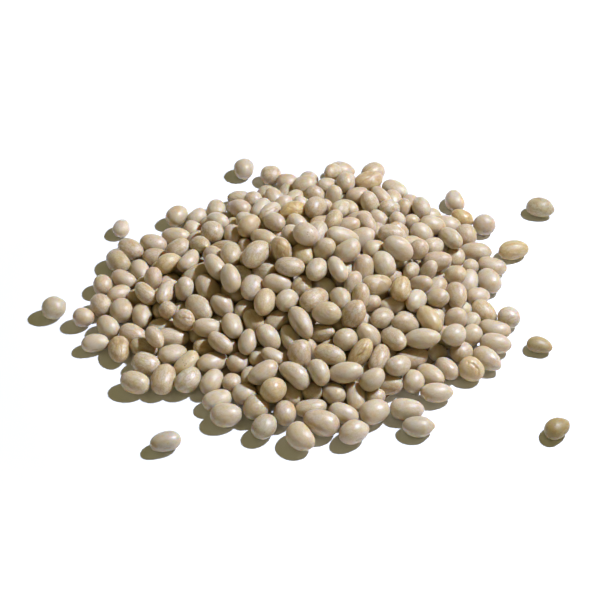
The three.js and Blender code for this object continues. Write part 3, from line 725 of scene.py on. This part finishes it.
def bean_forms(p, which, basis):
    """Points of the chosen beans in their own axes, in millimetres, from points p of a unit
    ball: x along the bean, y from the scar to the back, z across. The girth grows with blunt * x
    squared and taper * x; the middle line bends as bend * x squared; the scar's side is hollowed
    by a bell curve; a beak is a high power of x."""
    get = {label: values[which][:, None] for label, values in trait.items()}
    x, y, z = (p[:, k][None] for k in range(3))
    placed = which < HEAP_START
    length = (half_length[which] * np.where(placed, 1, HEAP_STRETCH))[:, None]
    girth = (half_girth[which] * np.where(placed, 1, HEAP_SLIMNESS))[:, None]
    # The second value is the painted shade in the hollows of the folds.
    relief, hollow_shade = folds_of(p, which, basis)
    lumpy = lumps(p, which)
    swell = lumpy * (1 + get["blunt"] * x * x) * (1 + get["taper"] * x) + relief
    scar = np.exp(-(x / SCAR_LENGTH) ** 2 - (z / SCAR_WIDTH) ** 2) * (y < 0)
    beak = get["beak"] * np.maximum(x, 0) ** BEAK_POWER
    across = girth * get["wide"] * y * swell
    bend = length * get["bend"] * (x * x - BEND_MIDDLE)
    forms = np.stack([
        length * x * (lumpy * 0.5 + 0.5) + girth * beak,
        across + girth * get["hollow"] * scar - bend,
        girth * (2 - get["wide"]) * z * swell,
    ], axis=2)
    return forms, hollow_shade


# %% Turning beans into place
def turned(forms, which, basis, on_ground):
    """Points in the heap's frame: centre + x * long axis + y * side + z * thin direction. Beans
    on the ground, and any that reach below it, are moved until they just touch it."""
    points = forms @ basis + centre[which][:, None]
    lowest = points[..., 2].min(axis=1)
    points[..., 2] -= np.where(on_ground | (lowest < 0), lowest, 0)[:, None]
    return points


# %% [markdown]
# ## Colours
#
# Dried white beans are cream, not white. Some are paler, yellower, greyer or pinker, and a few
# that got damp are nearly tan. Each bean has a share of each tint and of each mark. Most shares
# are drawn, and beans that stand out in the photograph are given theirs. All are stored on the
# mesh, so that one material serves every bean.

# %% Tints and marks
CREAM = np.array([0.555, 0.463, 0.318])
TINTS = {
    "pale": np.array([0.595, 0.522, 0.394]),
    "pink": np.array([0.565, 0.448, 0.326]),
    "yellow": np.array([0.59, 0.448, 0.21]),
    "grey": np.array([0.47, 0.41, 0.304]),
    "olive": np.array([0.47, 0.414, 0.241]),
    "tan": np.array([0.33, 0.248, 0.094]),
}
PLACED_YELLOW_SHARE = 0.3
CRACKED_YELLOW = 0.3
EDGE_MARKS = {
    "yellow": {2: 0.55, 26: 0.5, 37: 0.85, 31: 0.3, 58: 0.2},
    "grey": {21: 0.8, 13: 0.7, 11: 0.3, 58: 0.4, 2: 0.2},
    "specked": {13: 0.9, 7: 0.7, 58: 0.6},
    "tipped": {28: 1.0},
}
HEAP_MARKS = [
    ("yellow", -2, 24, 0.9), ("yellow", -33, -29, 0.35), ("yellow", 8, -18, 0.15),
    ("specked", -33, -29, 0.9)]
STRAY_MARKS = {
    "pink": [0.2, 0.6, 0, 0, 0, 0, 0.3, 0.8, 0.5],
    "yellow": [0, 0, 0, 0.6, 0.3, 0.1, 0, 0, 0],
    "grey": [0.5, 0.6, 0.8, 0, 0, 0, 1, 0.2, 0.1],
    "olive": [0.1, 0, 0.35, 0, 0.3, 0.4, 0, 0, 0],
    "tan": [0, 0, 0.12, 0.12, 0.65, 0.95, 0, 0, 0],
    "veined": [0.4, 0.3, 1.0, 0.8, 0.6, 0.6, 0.3, 0.3, 0.3],
    "specked": [0, 0, 0.15, 0, 0.3, 0.3, 0.6, 0, 0],
}
STRAYS_TIPPED = {0: 0.4, 2: 0.5, 5: 0.9}


def rare(column, start, slope, most=1.0):
    """0 for most beans, and rising with the draw from a start up to the most allowed."""
    return np.clip((luck[:, column] - start) * slope, 0, most)


shares = {
    "pale": luck[:, 34].copy(),
    "pink": luck[:, 35] * 0.6,
    "yellow": rare(36, 0.86, 4, 0.5),
    "grey": np.zeros(BEANS),
    "olive": np.zeros(BEANS),
    "tan": np.zeros(BEANS),
    "veined": 0.3 + 0.7 * luck[:, 38] ** 2,
    "specked": rare(37, 0.88, 7),
    "seamed": rare(8, 0.7, 3.4),
    "tipped": rare(9, 0.9, 9),
}
shares["yellow"][:HEAP_START] *= PLACED_YELLOW_SHARE
in_cracks = wrinkle == "cracked"
shares["yellow"][in_cracks] = np.maximum(shares["yellow"][in_cracks], CRACKED_YELLOW)
for label, beans in EDGE_MARKS.items():
    for row, value in beans.items():
        shares[label][STRAYS + row] = value
for label, x, y, value in HEAP_MARKS:
    shares[label][bean_at(x, y)] = value
for label, row in STRAY_MARKS.items():
    shares[label][:STRAYS] = row
for stray, value in STRAYS_TIPPED.items():
    shares["tipped"][stray] = value
print("beans with more than half of a mark:",
      {label: int((values > 0.5).sum()) for label, values in shares.items()})


# %% What the material reads at each point
def tint_of(which):
    """Cream, moved towards each tint in turn by the bean's own amount of it."""
    tint = np.tile(CREAM, (len(which), 1))
    for label, colour in TINTS.items():
        tint = tint + (colour - tint) * shares[label][which][:, None]
    return tint


def for_each_point(rows, size):
    """One row a bean repeated for each of its points."""
    return np.repeat(rows[:, None], size, axis=1)


def skin_values(p, which, forms, hollow_shade):
    """The tint, the place on the bean's own ball, a place in millimetres that no two beans
    share, and how much of each mark it has. The fourth of the marks is the painted shade in the
    hollows of the folds."""
    count, size = len(which), len(p)
    nothing = np.zeros(count)
    marks = [shares["specked"][which], shares["veined"][which], nothing, nothing]
    marks = for_each_point(np.column_stack(marks), size)
    marks[..., 3] = hollow_shade
    lines = [shares["seamed"][which], shares["tipped"][which], nothing]
    lines = for_each_point(np.column_stack(lines), size)
    colour = for_each_point(np.column_stack([tint_of(which), np.ones(count)]), size)
    apart = np.stack([which * 17.0, which * 5.0 + 3, which * 11.0 + 7], axis=1)
    return {
        "tint": colour.reshape(-1, 4),
        "ball_place": np.tile(p, (count, 1)),
        "skin_place": (forms + for_each_point(apart, size)).reshape(-1, 3),
        "marks": marks.reshape(-1, 4),
        "lines": lines.reshape(-1, 3),
    }


# %% [markdown]
# ## The skin's material
#
# The coat of a dried bean is smooth and glossy, with a small bright light on it. Light goes some
# way in, which turns the edge of every shadow warm. A net of hair-fine veins is drawn out along
# the bean, a few beans have brown specks or a dark end, a faint seam runs round some of them, and
# the scar where the bean hung in its pod is a small brown ring round a pale middle.
#
# Each mark is a function that lays one colour over the last. An output is passed on as a pair,
# its node and its name or number, so the marks can be strung together like beads.

# %% Small helpers for nodes
MIX_UNDER = 6
MIX_OVER = 7
MIX_RESULT = 2


def new_material(name):
    """A material and its shader."""
    material = bpy.data.materials.new(name)
    material.use_nodes = True
    return material, material.node_tree.nodes["Principled BSDF"]


def add(near, kind_of_node, **settings):
    """A new node in the same tree as another, with its properties set."""
    node = near.id_data.nodes.new(kind_of_node)
    for label, value in settings.items():
        setattr(node, label, value)
    return node


def tune(node, values):
    """A node with some of its inputs set, by name or number."""
    for entry, value in values.items():
        node.inputs[entry].default_value = value
    return node


def wire(output, target, entry):
    """A link from an output to another node's input, by name or number."""
    node, socket = output
    node.id_data.links.new(node.outputs[socket], target.inputs[entry])


def ramp(output, low, high):
    """An output mapped from low..high onto 0..1, held at both ends."""
    node = tune(add(output[0], "ShaderNodeMapRange"), {"From Min": low, "From Max": high})
    wire(output, node, 0)
    return node, 0


def times(output, *factors):
    """An output multiplied by numbers or other outputs in turn."""
    for factor in factors:
        node = add(output[0], "ShaderNodeMath", operation="MULTIPLY")
        wire(output, node, 0)
        if isinstance(factor, tuple):
            wire(factor, node, 1)
        else:
            tune(node, {1: factor})
        output = (node, 0)
    return output


def plus(output, other, share):
    """An output with a share of another added to it."""
    node = tune(add(output[0], "ShaderNodeMath", operation="MULTIPLY_ADD"), {1: share})
    wire(other, node, 0)
    wire(output, node, 2)
    return node, 0


def vector_math(operation, *outputs):
    """A calculation on one or two places."""
    node = add(outputs[0][0], "ShaderNodeVectorMath", operation=operation)
    for entry, output in enumerate(outputs):
        wire(output, node, entry)
    return node


def lay(under, mark, share, mode="MULTIPLY"):
    """A mark's tint laid over a colour by a share: multiplied into it, or mixed with it."""
    node = add(under[0], "ShaderNodeMix", data_type="RGBA", blend_type=mode)
    tune(node, {MIX_OVER: (*mark["tint"], 1)})
    wire(times(share, mark["amount"]), node, 0)
    wire(under, node, MIX_UNDER)
    return node, MIX_RESULT


def noise(place, scale, detail=2):
    """A cloudy pattern, from 0 to 1."""
    node = tune(add(place[0], "ShaderNodeTexNoise"), {"Scale": scale, "Detail": detail})
    wire(place, node, "Vector")
    return node, "Fac"


def squeezed(place, scale, move=(0, 0, 0)):
    """A place times a scale, which draws a pattern out where the scale is small, and moved."""
    node = tune(add(place[0], "ShaderNodeMapping"), {"Location": move, "Scale": scale})
    wire(place, node, "Vector")
    return node, 0


def attribute(near, label):
    """The values stored on the mesh under a name."""
    return add(near, "ShaderNodeAttribute", attribute_name=label)


def channels(output):
    """The three parts of a vector, one by one."""
    split = add(output[0], "ShaderNodeSeparateXYZ")
    wire(output, split, 0)
    return split


# %% What each mark is like
# A size is in patches to a millimetre, a reach is where a mark starts and where it is whole, and
# an amount is how strong it is then.
CLOUDS = {"tint": (0.92, 0.82, 0.62), "amount": 0.75, "size": 0.42, "reach": (0.42, 0.72)}
STREAKS = {"tint": (0.82, 0.73, 0.52), "amount": 0.55, "size": (0.14, 1.5, 1.5),
           "reach": (0.46, 0.68)}
VEINS = {"tint": (0.70, 0.58, 0.38), "amount": 0.7, "size": 0.95, "reach": (0.11, 0.0),
         "drawn_out": (0.3, 1, 1), "shake_size": 0.9, "shake": 2.2}
SPECKS = {"tint": (0.13, 0.07, 0.028), "amount": 1.0, "size": 1.3, "reach": (0.3, 0.12),
          "strength": (0.45, 0.75), "group_size": 0.3, "group_reach": (0.36, 0.52)}
# Painted shade in the hollows of the rings, cracks, creases, folds and grooves: a warm brown laid over
# the skin.
PAINTED_HOLLOW_SHADE = {"tint": (0.66, 0.45, 0.20), "amount": 0.62}
SEAM = {"tint": (0.66, 0.54, 0.33), "amount": 0.42, "waver": 0.3, "reach": (0.07, 0.015)}
DARK_END = {"tint": (0.42, 0.27, 0.12), "amount": 0.8, "waver": 0.2, "reach": (0.97, 1.1)}
SCAR_RING = {"tint": (0.30, 0.20, 0.10), "amount": 0.65, "reach": (1.15, 0.8)}
SCAR_MIDDLE = {"tint": (0.50, 0.41, 0.28), "amount": 0.8, "reach": (0.72, 0.5)}
SCAR_SQUEEZE = (4.6, 1.0, 9.0)
TO_SCAR = (0, 1.0, 0)


# %% The marks on the skin
def mottling(colour, place):
    """Cloudy patches, a little yellower than the rest."""
    return lay(colour, CLOUDS, ramp(noise(place, CLOUDS["size"], detail=4), *CLOUDS["reach"]))


def vein_lines(place):
    """Edges of cells drawn out along the bean and shaken by noise: 1 on an edge, 0 away from
    it."""
    shake, _ = noise(place, VEINS["shake_size"], detail=3)
    shift = tune(vector_math("SCALE", (shake, "Color")), {"Scale": VEINS["shake"]})
    moved = vector_math("ADD", place, (shift, 0))
    net = add(moved, "ShaderNodeTexVoronoi", feature="DISTANCE_TO_EDGE")
    tune(net, {"Scale": VEINS["size"]})
    wire(squeezed((moved, 0), VEINS["drawn_out"]), net, "Vector")
    return ramp((net, "Distance"), *VEINS["reach"])


def streaks(colour, place, veined):
    """Soft lengthwise streaks between the veins: a noise drawn out far along the bean."""
    drawn = squeezed(place, STREAKS["size"])
    band = ramp(noise(drawn, 1.0, detail=3), *STREAKS["reach"])
    return lay(colour, STREAKS, times(band, veined))


def specks(colour, place, specked):
    """Brown dots in loose groups: the middles of cells, where a slow noise is high, each as
    strong as its cell's own random value."""
    cells = tune(add(place[0], "ShaderNodeTexVoronoi"), {"Scale": SPECKS["size"]})
    wire(place, cells, "Vector")
    dot = ramp((cells, "Distance"), *SPECKS["reach"])
    strength = ramp((cells, "Color"), *SPECKS["strength"])
    group = ramp(noise(place, SPECKS["group_size"]), *SPECKS["group_reach"])
    return lay(colour, SPECKS, times(dot, group, strength, specked), "MIX")


def seam(colour, ball_place, shake, seamed):
    """A faint line round the bean through its scar and both ends: how near z is to 0, with a
    waver of half its size to either side."""
    across = plus((channels(ball_place), "Z"), shake, SEAM["waver"])
    centred = add(across[0], "ShaderNodeMath", operation="SUBTRACT")
    wire(across, tune(centred, {1: SEAM["waver"] / 2}), 0)
    aside = add(centred, "ShaderNodeMath", operation="ABSOLUTE")
    wire((centred, 0), aside, 0)
    return lay(colour, SEAM, times(ramp((aside, 0), *SEAM["reach"]), seamed))


def dark_end(colour, ball_place, shake, tipped):
    """A brown mark on the end of the bean where x is near 1."""
    along = plus((channels(ball_place), "X"), shake, DARK_END["waver"])
    return lay(colour, DARK_END, times(ramp(along, *DARK_END["reach"]), tipped))


def scar(colour, ball_place):
    """A brown ring round a pale middle, by the distance from the middle of the hollow side,
    counted shorter along the bean."""
    away = vector_math("LENGTH", squeezed(ball_place, SCAR_SQUEEZE, TO_SCAR))
    for part in (SCAR_RING, SCAR_MIDDLE):
        colour = lay(colour, part, ramp((away, "Value"), *part["reach"]), "MIX")
    return colour


# %% The whole skin
SHAKE_SIZE = 0.5
GLOSS_RANGE = (-0.06, 0.12)
PORE_SCALE = 1.9
VEIN_SINK = -0.35
PORE_DEPTH = 0.00012
PORE_STRENGTH = 0.45
LIGHT_INSIDE = 0.8
LIGHT_REACH = (1.0, 0.55, 0.16)
LIGHT_DEPTH = 0.0024
COAT_IOR = 1.5


def bean_skin(name, roughness):
    """The marks in turn over a glossy coat that lets a little light in, red light farthest."""
    material, shader = new_material(name)
    place = (attribute(shader, "skin_place"), "Vector")
    ball_place = (attribute(shader, "ball_place"), "Vector")
    marks = attribute(shader, "marks")
    amounts = channels((marks, "Vector"))
    lines = channels((attribute(shader, "lines"), "Vector"))
    veined = (amounts, "Y")
    shake = noise(place, SHAKE_SIZE)
    vein = vein_lines(place)

    colour = mottling((attribute(shader, "tint"), "Color"), place)
    colour = streaks(colour, place, veined)
    colour = lay(colour, VEINS, times(vein, veined))
    colour = specks(colour, place, (amounts, "X"))
    # Painted shade in the hollows of the wrinkles, from the fourth of the marks.
    colour = lay(colour, PAINTED_HOLLOW_SHADE, (marks, "Alpha"))
    colour = seam(colour, ball_place, shake, (lines, "X"))
    colour = dark_end(colour, ball_place, shake, (lines, "Y"))
    colour = scar(colour, ball_place)
    wire(colour, shader, "Base Color")

    least, most = (roughness + change for change in GLOSS_RANGE)
    gloss = tune(add(shader, "ShaderNodeMapRange"), {"To Min": least, "To Max": most})
    wire(shake, gloss, 0)
    wire((gloss, 0), shader, "Roughness")

    pores = noise(place, PORE_SCALE, detail=5)
    relief = add(shader, "ShaderNodeBump")
    tune(relief, {"Strength": PORE_STRENGTH, "Distance": PORE_DEPTH})
    wire(plus(pores, vein, VEIN_SINK), relief, "Height")
    wire((relief, "Normal"), shader, "Normal")
    tune(shader, {"Subsurface Weight": LIGHT_INSIDE, "Subsurface Radius": LIGHT_REACH,
                  "Subsurface Scale": LIGHT_DEPTH, "IOR": COAT_IOR})
    return material


skin = bean_skin("bean_skin", 0.35)
tan_skin = bean_skin("tan_bean_skin", 0.42)
print("materials:", [skin.name, tan_skin.name])

# %% [markdown]
# ## The core
#
# Beans deep in the heap are never seen. A low mound fills the middle, well under the beans that
# show, and only beans that reach out of it are made. It ends before the edge, which is one bean
# deep.

# %% The core's mound
CORE_PEAK = 16.0
CORE_FALL = 21.0
CORE_LEAST = 0.4
CORE_INNER = 0.03
CORE_EDGE = 0.8
CORE_UNDERSIDE = 0.05
CORE_AROUND = 60
CORE_OUT = 12
PIT_DEPTH = 0.6
PIT_SWING = 0.9
PITS_ABOVE = 1.5


def core_height(x, y):
    """A cone over the apex, as steep in every direction as the outline leaves room for."""
    out = np.hypot(x - APEX[0], y - APEX[1]) / outline_radius(x, y)
    return np.maximum(CORE_PEAK - CORE_FALL * out, CORE_LEAST)


def core_surface():
    """A closed grid of turn and distance: out over the top, down the edge, and back below, with
    shallow pits on top, the product of two sines."""
    turn = np.arange(CORE_AROUND) * 2 * math.pi / CORE_AROUND
    out = np.linspace(CORE_INNER, CORE_EDGE, CORE_OUT)
    way = np.concatenate([out, out[::-1]])[:, None]
    top = np.concatenate([np.ones(CORE_OUT), np.zeros(CORE_OUT)])[:, None]
    reach = outline_radius(np.cos(turn), np.sin(turn))[None]
    x = np.cos(turn)[None] * reach * way
    y = np.sin(turn)[None] * reach * way
    height = core_height(x, y)
    pits = PIT_DEPTH * np.sin(x * PIT_SWING) * np.sin(y * PIT_SWING + 1)
    z = np.where(top > 0, height + pits * (height > PITS_ABOVE), CORE_UNDERSIDE)
    points = np.stack([x, y, z], axis=2).reshape(-1, 3)
    ring = np.arange(len(way) - 1)[:, None] * CORE_AROUND
    at = np.arange(CORE_AROUND)[None]
    after = (at + 1) % CORE_AROUND
    next_ring = ring + CORE_AROUND
    quads = np.stack([ring + at, next_ring + at, next_ring + after, ring + after], axis=2)
    last = len(points) - CORE_AROUND
    lids = [np.arange(CORE_AROUND)[::-1].tolist(), (last + np.arange(CORE_AROUND)).tolist()]
    return points, quads.reshape(-1, 4).tolist() + lids


# %% The core's material
CELLS_TO_A_METRE = 150
CORE_ROUGHNESS = 0.7


def core_skin():
    """Beans seen only through the gaps: cream at the middle of each cell, and dark brown painted
    shade towards its edges, where the hidden beans would meet.
    """
    material, shader = new_material("core_skin")
    cells = tune(add(shader, "ShaderNodeTexVoronoi"), {"Scale": CELLS_TO_A_METRE})
    wire((add(shader, "ShaderNodeTexCoord"), "Object"), cells, "Vector")
    colours = add(shader, "ShaderNodeValToRGB")
    # Cream at the middle of each cell, and painted shade in dark brown at its edges.
    colours.color_ramp.elements[0].color = (0.55, 0.45, 0.31, 1)
    colours.color_ramp.elements[1].color = (0.30, 0.20, 0.10, 1)
    wire((cells, "Distance"), colours, 0)
    wire((colours, "Color"), shader, "Base Color")
    tune(shader, {"Roughness": CORE_ROUGHNESS})
    return material


core = new_piece("heap_core", *core_surface(), core_skin())
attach(core, "root")
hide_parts("bean_heap")
print("core, faces:", len(core.data.polygons))

# %% [markdown]
# ## The beans of the heap
#
# Beans of one kind are joined into one piece. Plump and kidney-shaped ones are the many, so each
# is a cage of a few dozen faces under one Subdivision.

# %% Making each kind
out_of_core = centre[:, 2] + half_girth > core_height(centre[:, 0], centre[:, 1])
BALLS = {
    "plump": plain_ball, "kidney": plain_ball, "beaked": fine_ball, "wrinkled": wrinkle_ball}


def bean_piece(name, which, ball_of_kind, material, swell, node):
    """One mesh of all the chosen beans."""
    p, quads = ball_of_kind
    basis, on_ground = own_axes(which)
    # With the forms comes the painted shade in the hollows of the folds.
    forms, hollow_shade = bean_forms(p, which, basis)
    points = turned(forms * swell, which, basis, on_ground)
    faces = (quads[None] + (np.arange(len(which)) * len(p))[:, None, None]).reshape(-1, 4)
    values = skin_values(p, which, forms, hollow_shade)
    piece = new_piece(name, points.reshape(-1, 3), faces.tolist(), material, values)
    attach(piece, "root")
    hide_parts(node)
    return piece


for label, ball_of_kind in BALLS.items():
    which = np.nonzero((kind == label) & out_of_core)[0]
    coarse = ball_of_kind is plain_ball
    swell = CAGE_SWELL if coarse else 1.0
    piece = bean_piece(f"{label}_beans", which, ball_of_kind, skin, swell, "bean_heap")
    if coarse:
        subdivide(piece, SMOOTH_LEVELS)
    print(label, "beans:", len(which))

# %% [markdown]
# ## The stray beans
#
# Each bean that lies apart is a piece of its own, with as fine a grid as the wrinkled ones.

# %% Making the stray beans
TAN_STRAYS = (4, 5)
for n in range(STRAYS):
    tan = n in TAN_STRAYS
    material = tan_skin if tan else skin
    node = f"stray_bean_{n + 1}"
    piece = bean_piece(f"lone_bean_{n + 1}", np.array([n]), wrinkle_ball, material, 1.0, node)
print("stray beans made:", STRAYS)

# %% [markdown]
# ## Floor, light and camera
#
# The photograph's shadows are crisp and spread a little: one small lamp stands near, behind and
# to the right. A real lamp this near would be brighter at the right than at the left, which the
# photograph isn't, so its light doesn't fall off here. The room adds a weak warm light.
#
# The floor is matt white. Far from the heap it glows more and more, so that it stays white to
# the picture's corners.

# %% Floor
FLOOR_SIZE = 6
FLOOR_WHITE = 0.9
FLOOR_ROUGHNESS = 0.8
GLOW_START = 0.09
GLOW_END = 0.6
bpy.ops.mesh.primitive_plane_add(size=FLOOR_SIZE)
floor = bpy.context.object
floor.name = "floor"
floor_paint, floor_shader = new_material("floor_paint")
tune(floor_shader, {"Base Color": (FLOOR_WHITE, FLOOR_WHITE, FLOOR_WHITE, 1),
                    "Roughness": FLOOR_ROUGHNESS, "Emission Color": (1, 1, 1, 1)})
floor_way = vector_math("LENGTH", (add(floor_shader, "ShaderNodeTexCoord"), "Object"))
floor_glow = ramp((floor_way, "Value"), GLOW_START, GLOW_END)
wire(floor_glow, floor_shader, "Emission Strength")
floor.data.materials.append(floor_paint)
print("floor, m:", FLOOR_SIZE)

# %% [markdown]
# Seen from low down, the dim room would show over the floor's far edge. A white round wall hides
# it, seen by the camera alone, so that it adds no light.

# %% Wall
WALL_AWAY = 2.9
WALL_HEIGHT = 4
WALL_SIDES = 96
WALL_SUNK = 0.01
bpy.ops.mesh.primitive_cylinder_add(
    vertices=WALL_SIDES, radius=WALL_AWAY, depth=WALL_HEIGHT, end_fill_type="NOTHING",
    location=(0, 0, WALL_HEIGHT / 2 - WALL_SUNK))
wall = bpy.context.object
wall.name = "wall"
wall_paint, wall_shader = new_material("wall_paint")
tune(wall_shader, {"Emission Color": (1, 1, 1, 1), "Emission Strength": 1})
wall.data.materials.append(wall_paint)
for rays in ("diffuse", "glossy", "transmission", "shadow"):
    setattr(wall, "visible_" + rays, False)
print("wall, m away:", WALL_AWAY)

# %% Light
LAMP_PLACE = (0.180, 0.0515, 0.270)
LAMP_RADIUS = 0.007
LAMP_STRENGTH = 65
LAMP_COLOUR = (0.805, 0.888, 1.12)
lamp_light = bpy.data.lights.new("lamp", "POINT")
lamp_light.energy = 1.0
lamp_light.shadow_soft_size = LAMP_RADIUS
lamp_light.color = LAMP_COLOUR
lamp_light.use_nodes = True
lamp_shader = lamp_light.node_tree.nodes["Emission"]
even = tune(add(lamp_shader, "ShaderNodeLightFalloff"), {"Strength": LAMP_STRENGTH})
wire((even, "Constant"), lamp_shader, "Strength")
lamp = bpy.data.objects.new("lamp", lamp_light)
lamp.location = LAMP_PLACE
lamp.visible_camera = False
bpy.context.scene.collection.objects.link(lamp)

ROOM_COLOUR = (1.0, 0.87, 0.40, 1)
ROOM_STRENGTH = 0.18
room = bpy.data.worlds.new("room")
room.use_nodes = True
tune(room.node_tree.nodes["Background"], {"Color": ROOM_COLOUR, "Strength": ROOM_STRENGTH})
bpy.context.scene.world = room
bpy.context.scene.view_settings.view_transform = "Standard"
print("lamp at", LAMP_PLACE, "room light:", ROOM_STRENGTH)

# %% [markdown]
# The camera stands where the heap narrows towards the back as it does in the photograph, and
# the lens gives a millimetre at the middle of the heap as many pixels as it has there.

# %% Camera
CAMERA_ELEVATION = math.radians(46)
CAMERA_DISTANCE = 0.33
PHOTO_WIDTH = 600
PIXEL_SIZE = 0.000297
lens = bpy.data.cameras.new("camera")
camera = bpy.data.objects.new("camera", lens)
to_camera = Vector((0, -math.cos(CAMERA_ELEVATION), math.sin(CAMERA_ELEVATION)))
camera.location = to_camera * CAMERA_DISTANCE
camera.rotation_euler = to_camera.to_track_quat("Z", "Y").to_euler()
lens.lens = lens.sensor_width * CAMERA_DISTANCE / (PHOTO_WIDTH * PIXEL_SIZE)
bpy.context.scene.collection.objects.link(camera)
bpy.context.scene.camera = camera
print("lens, mm:", round(lens.lens, 1))
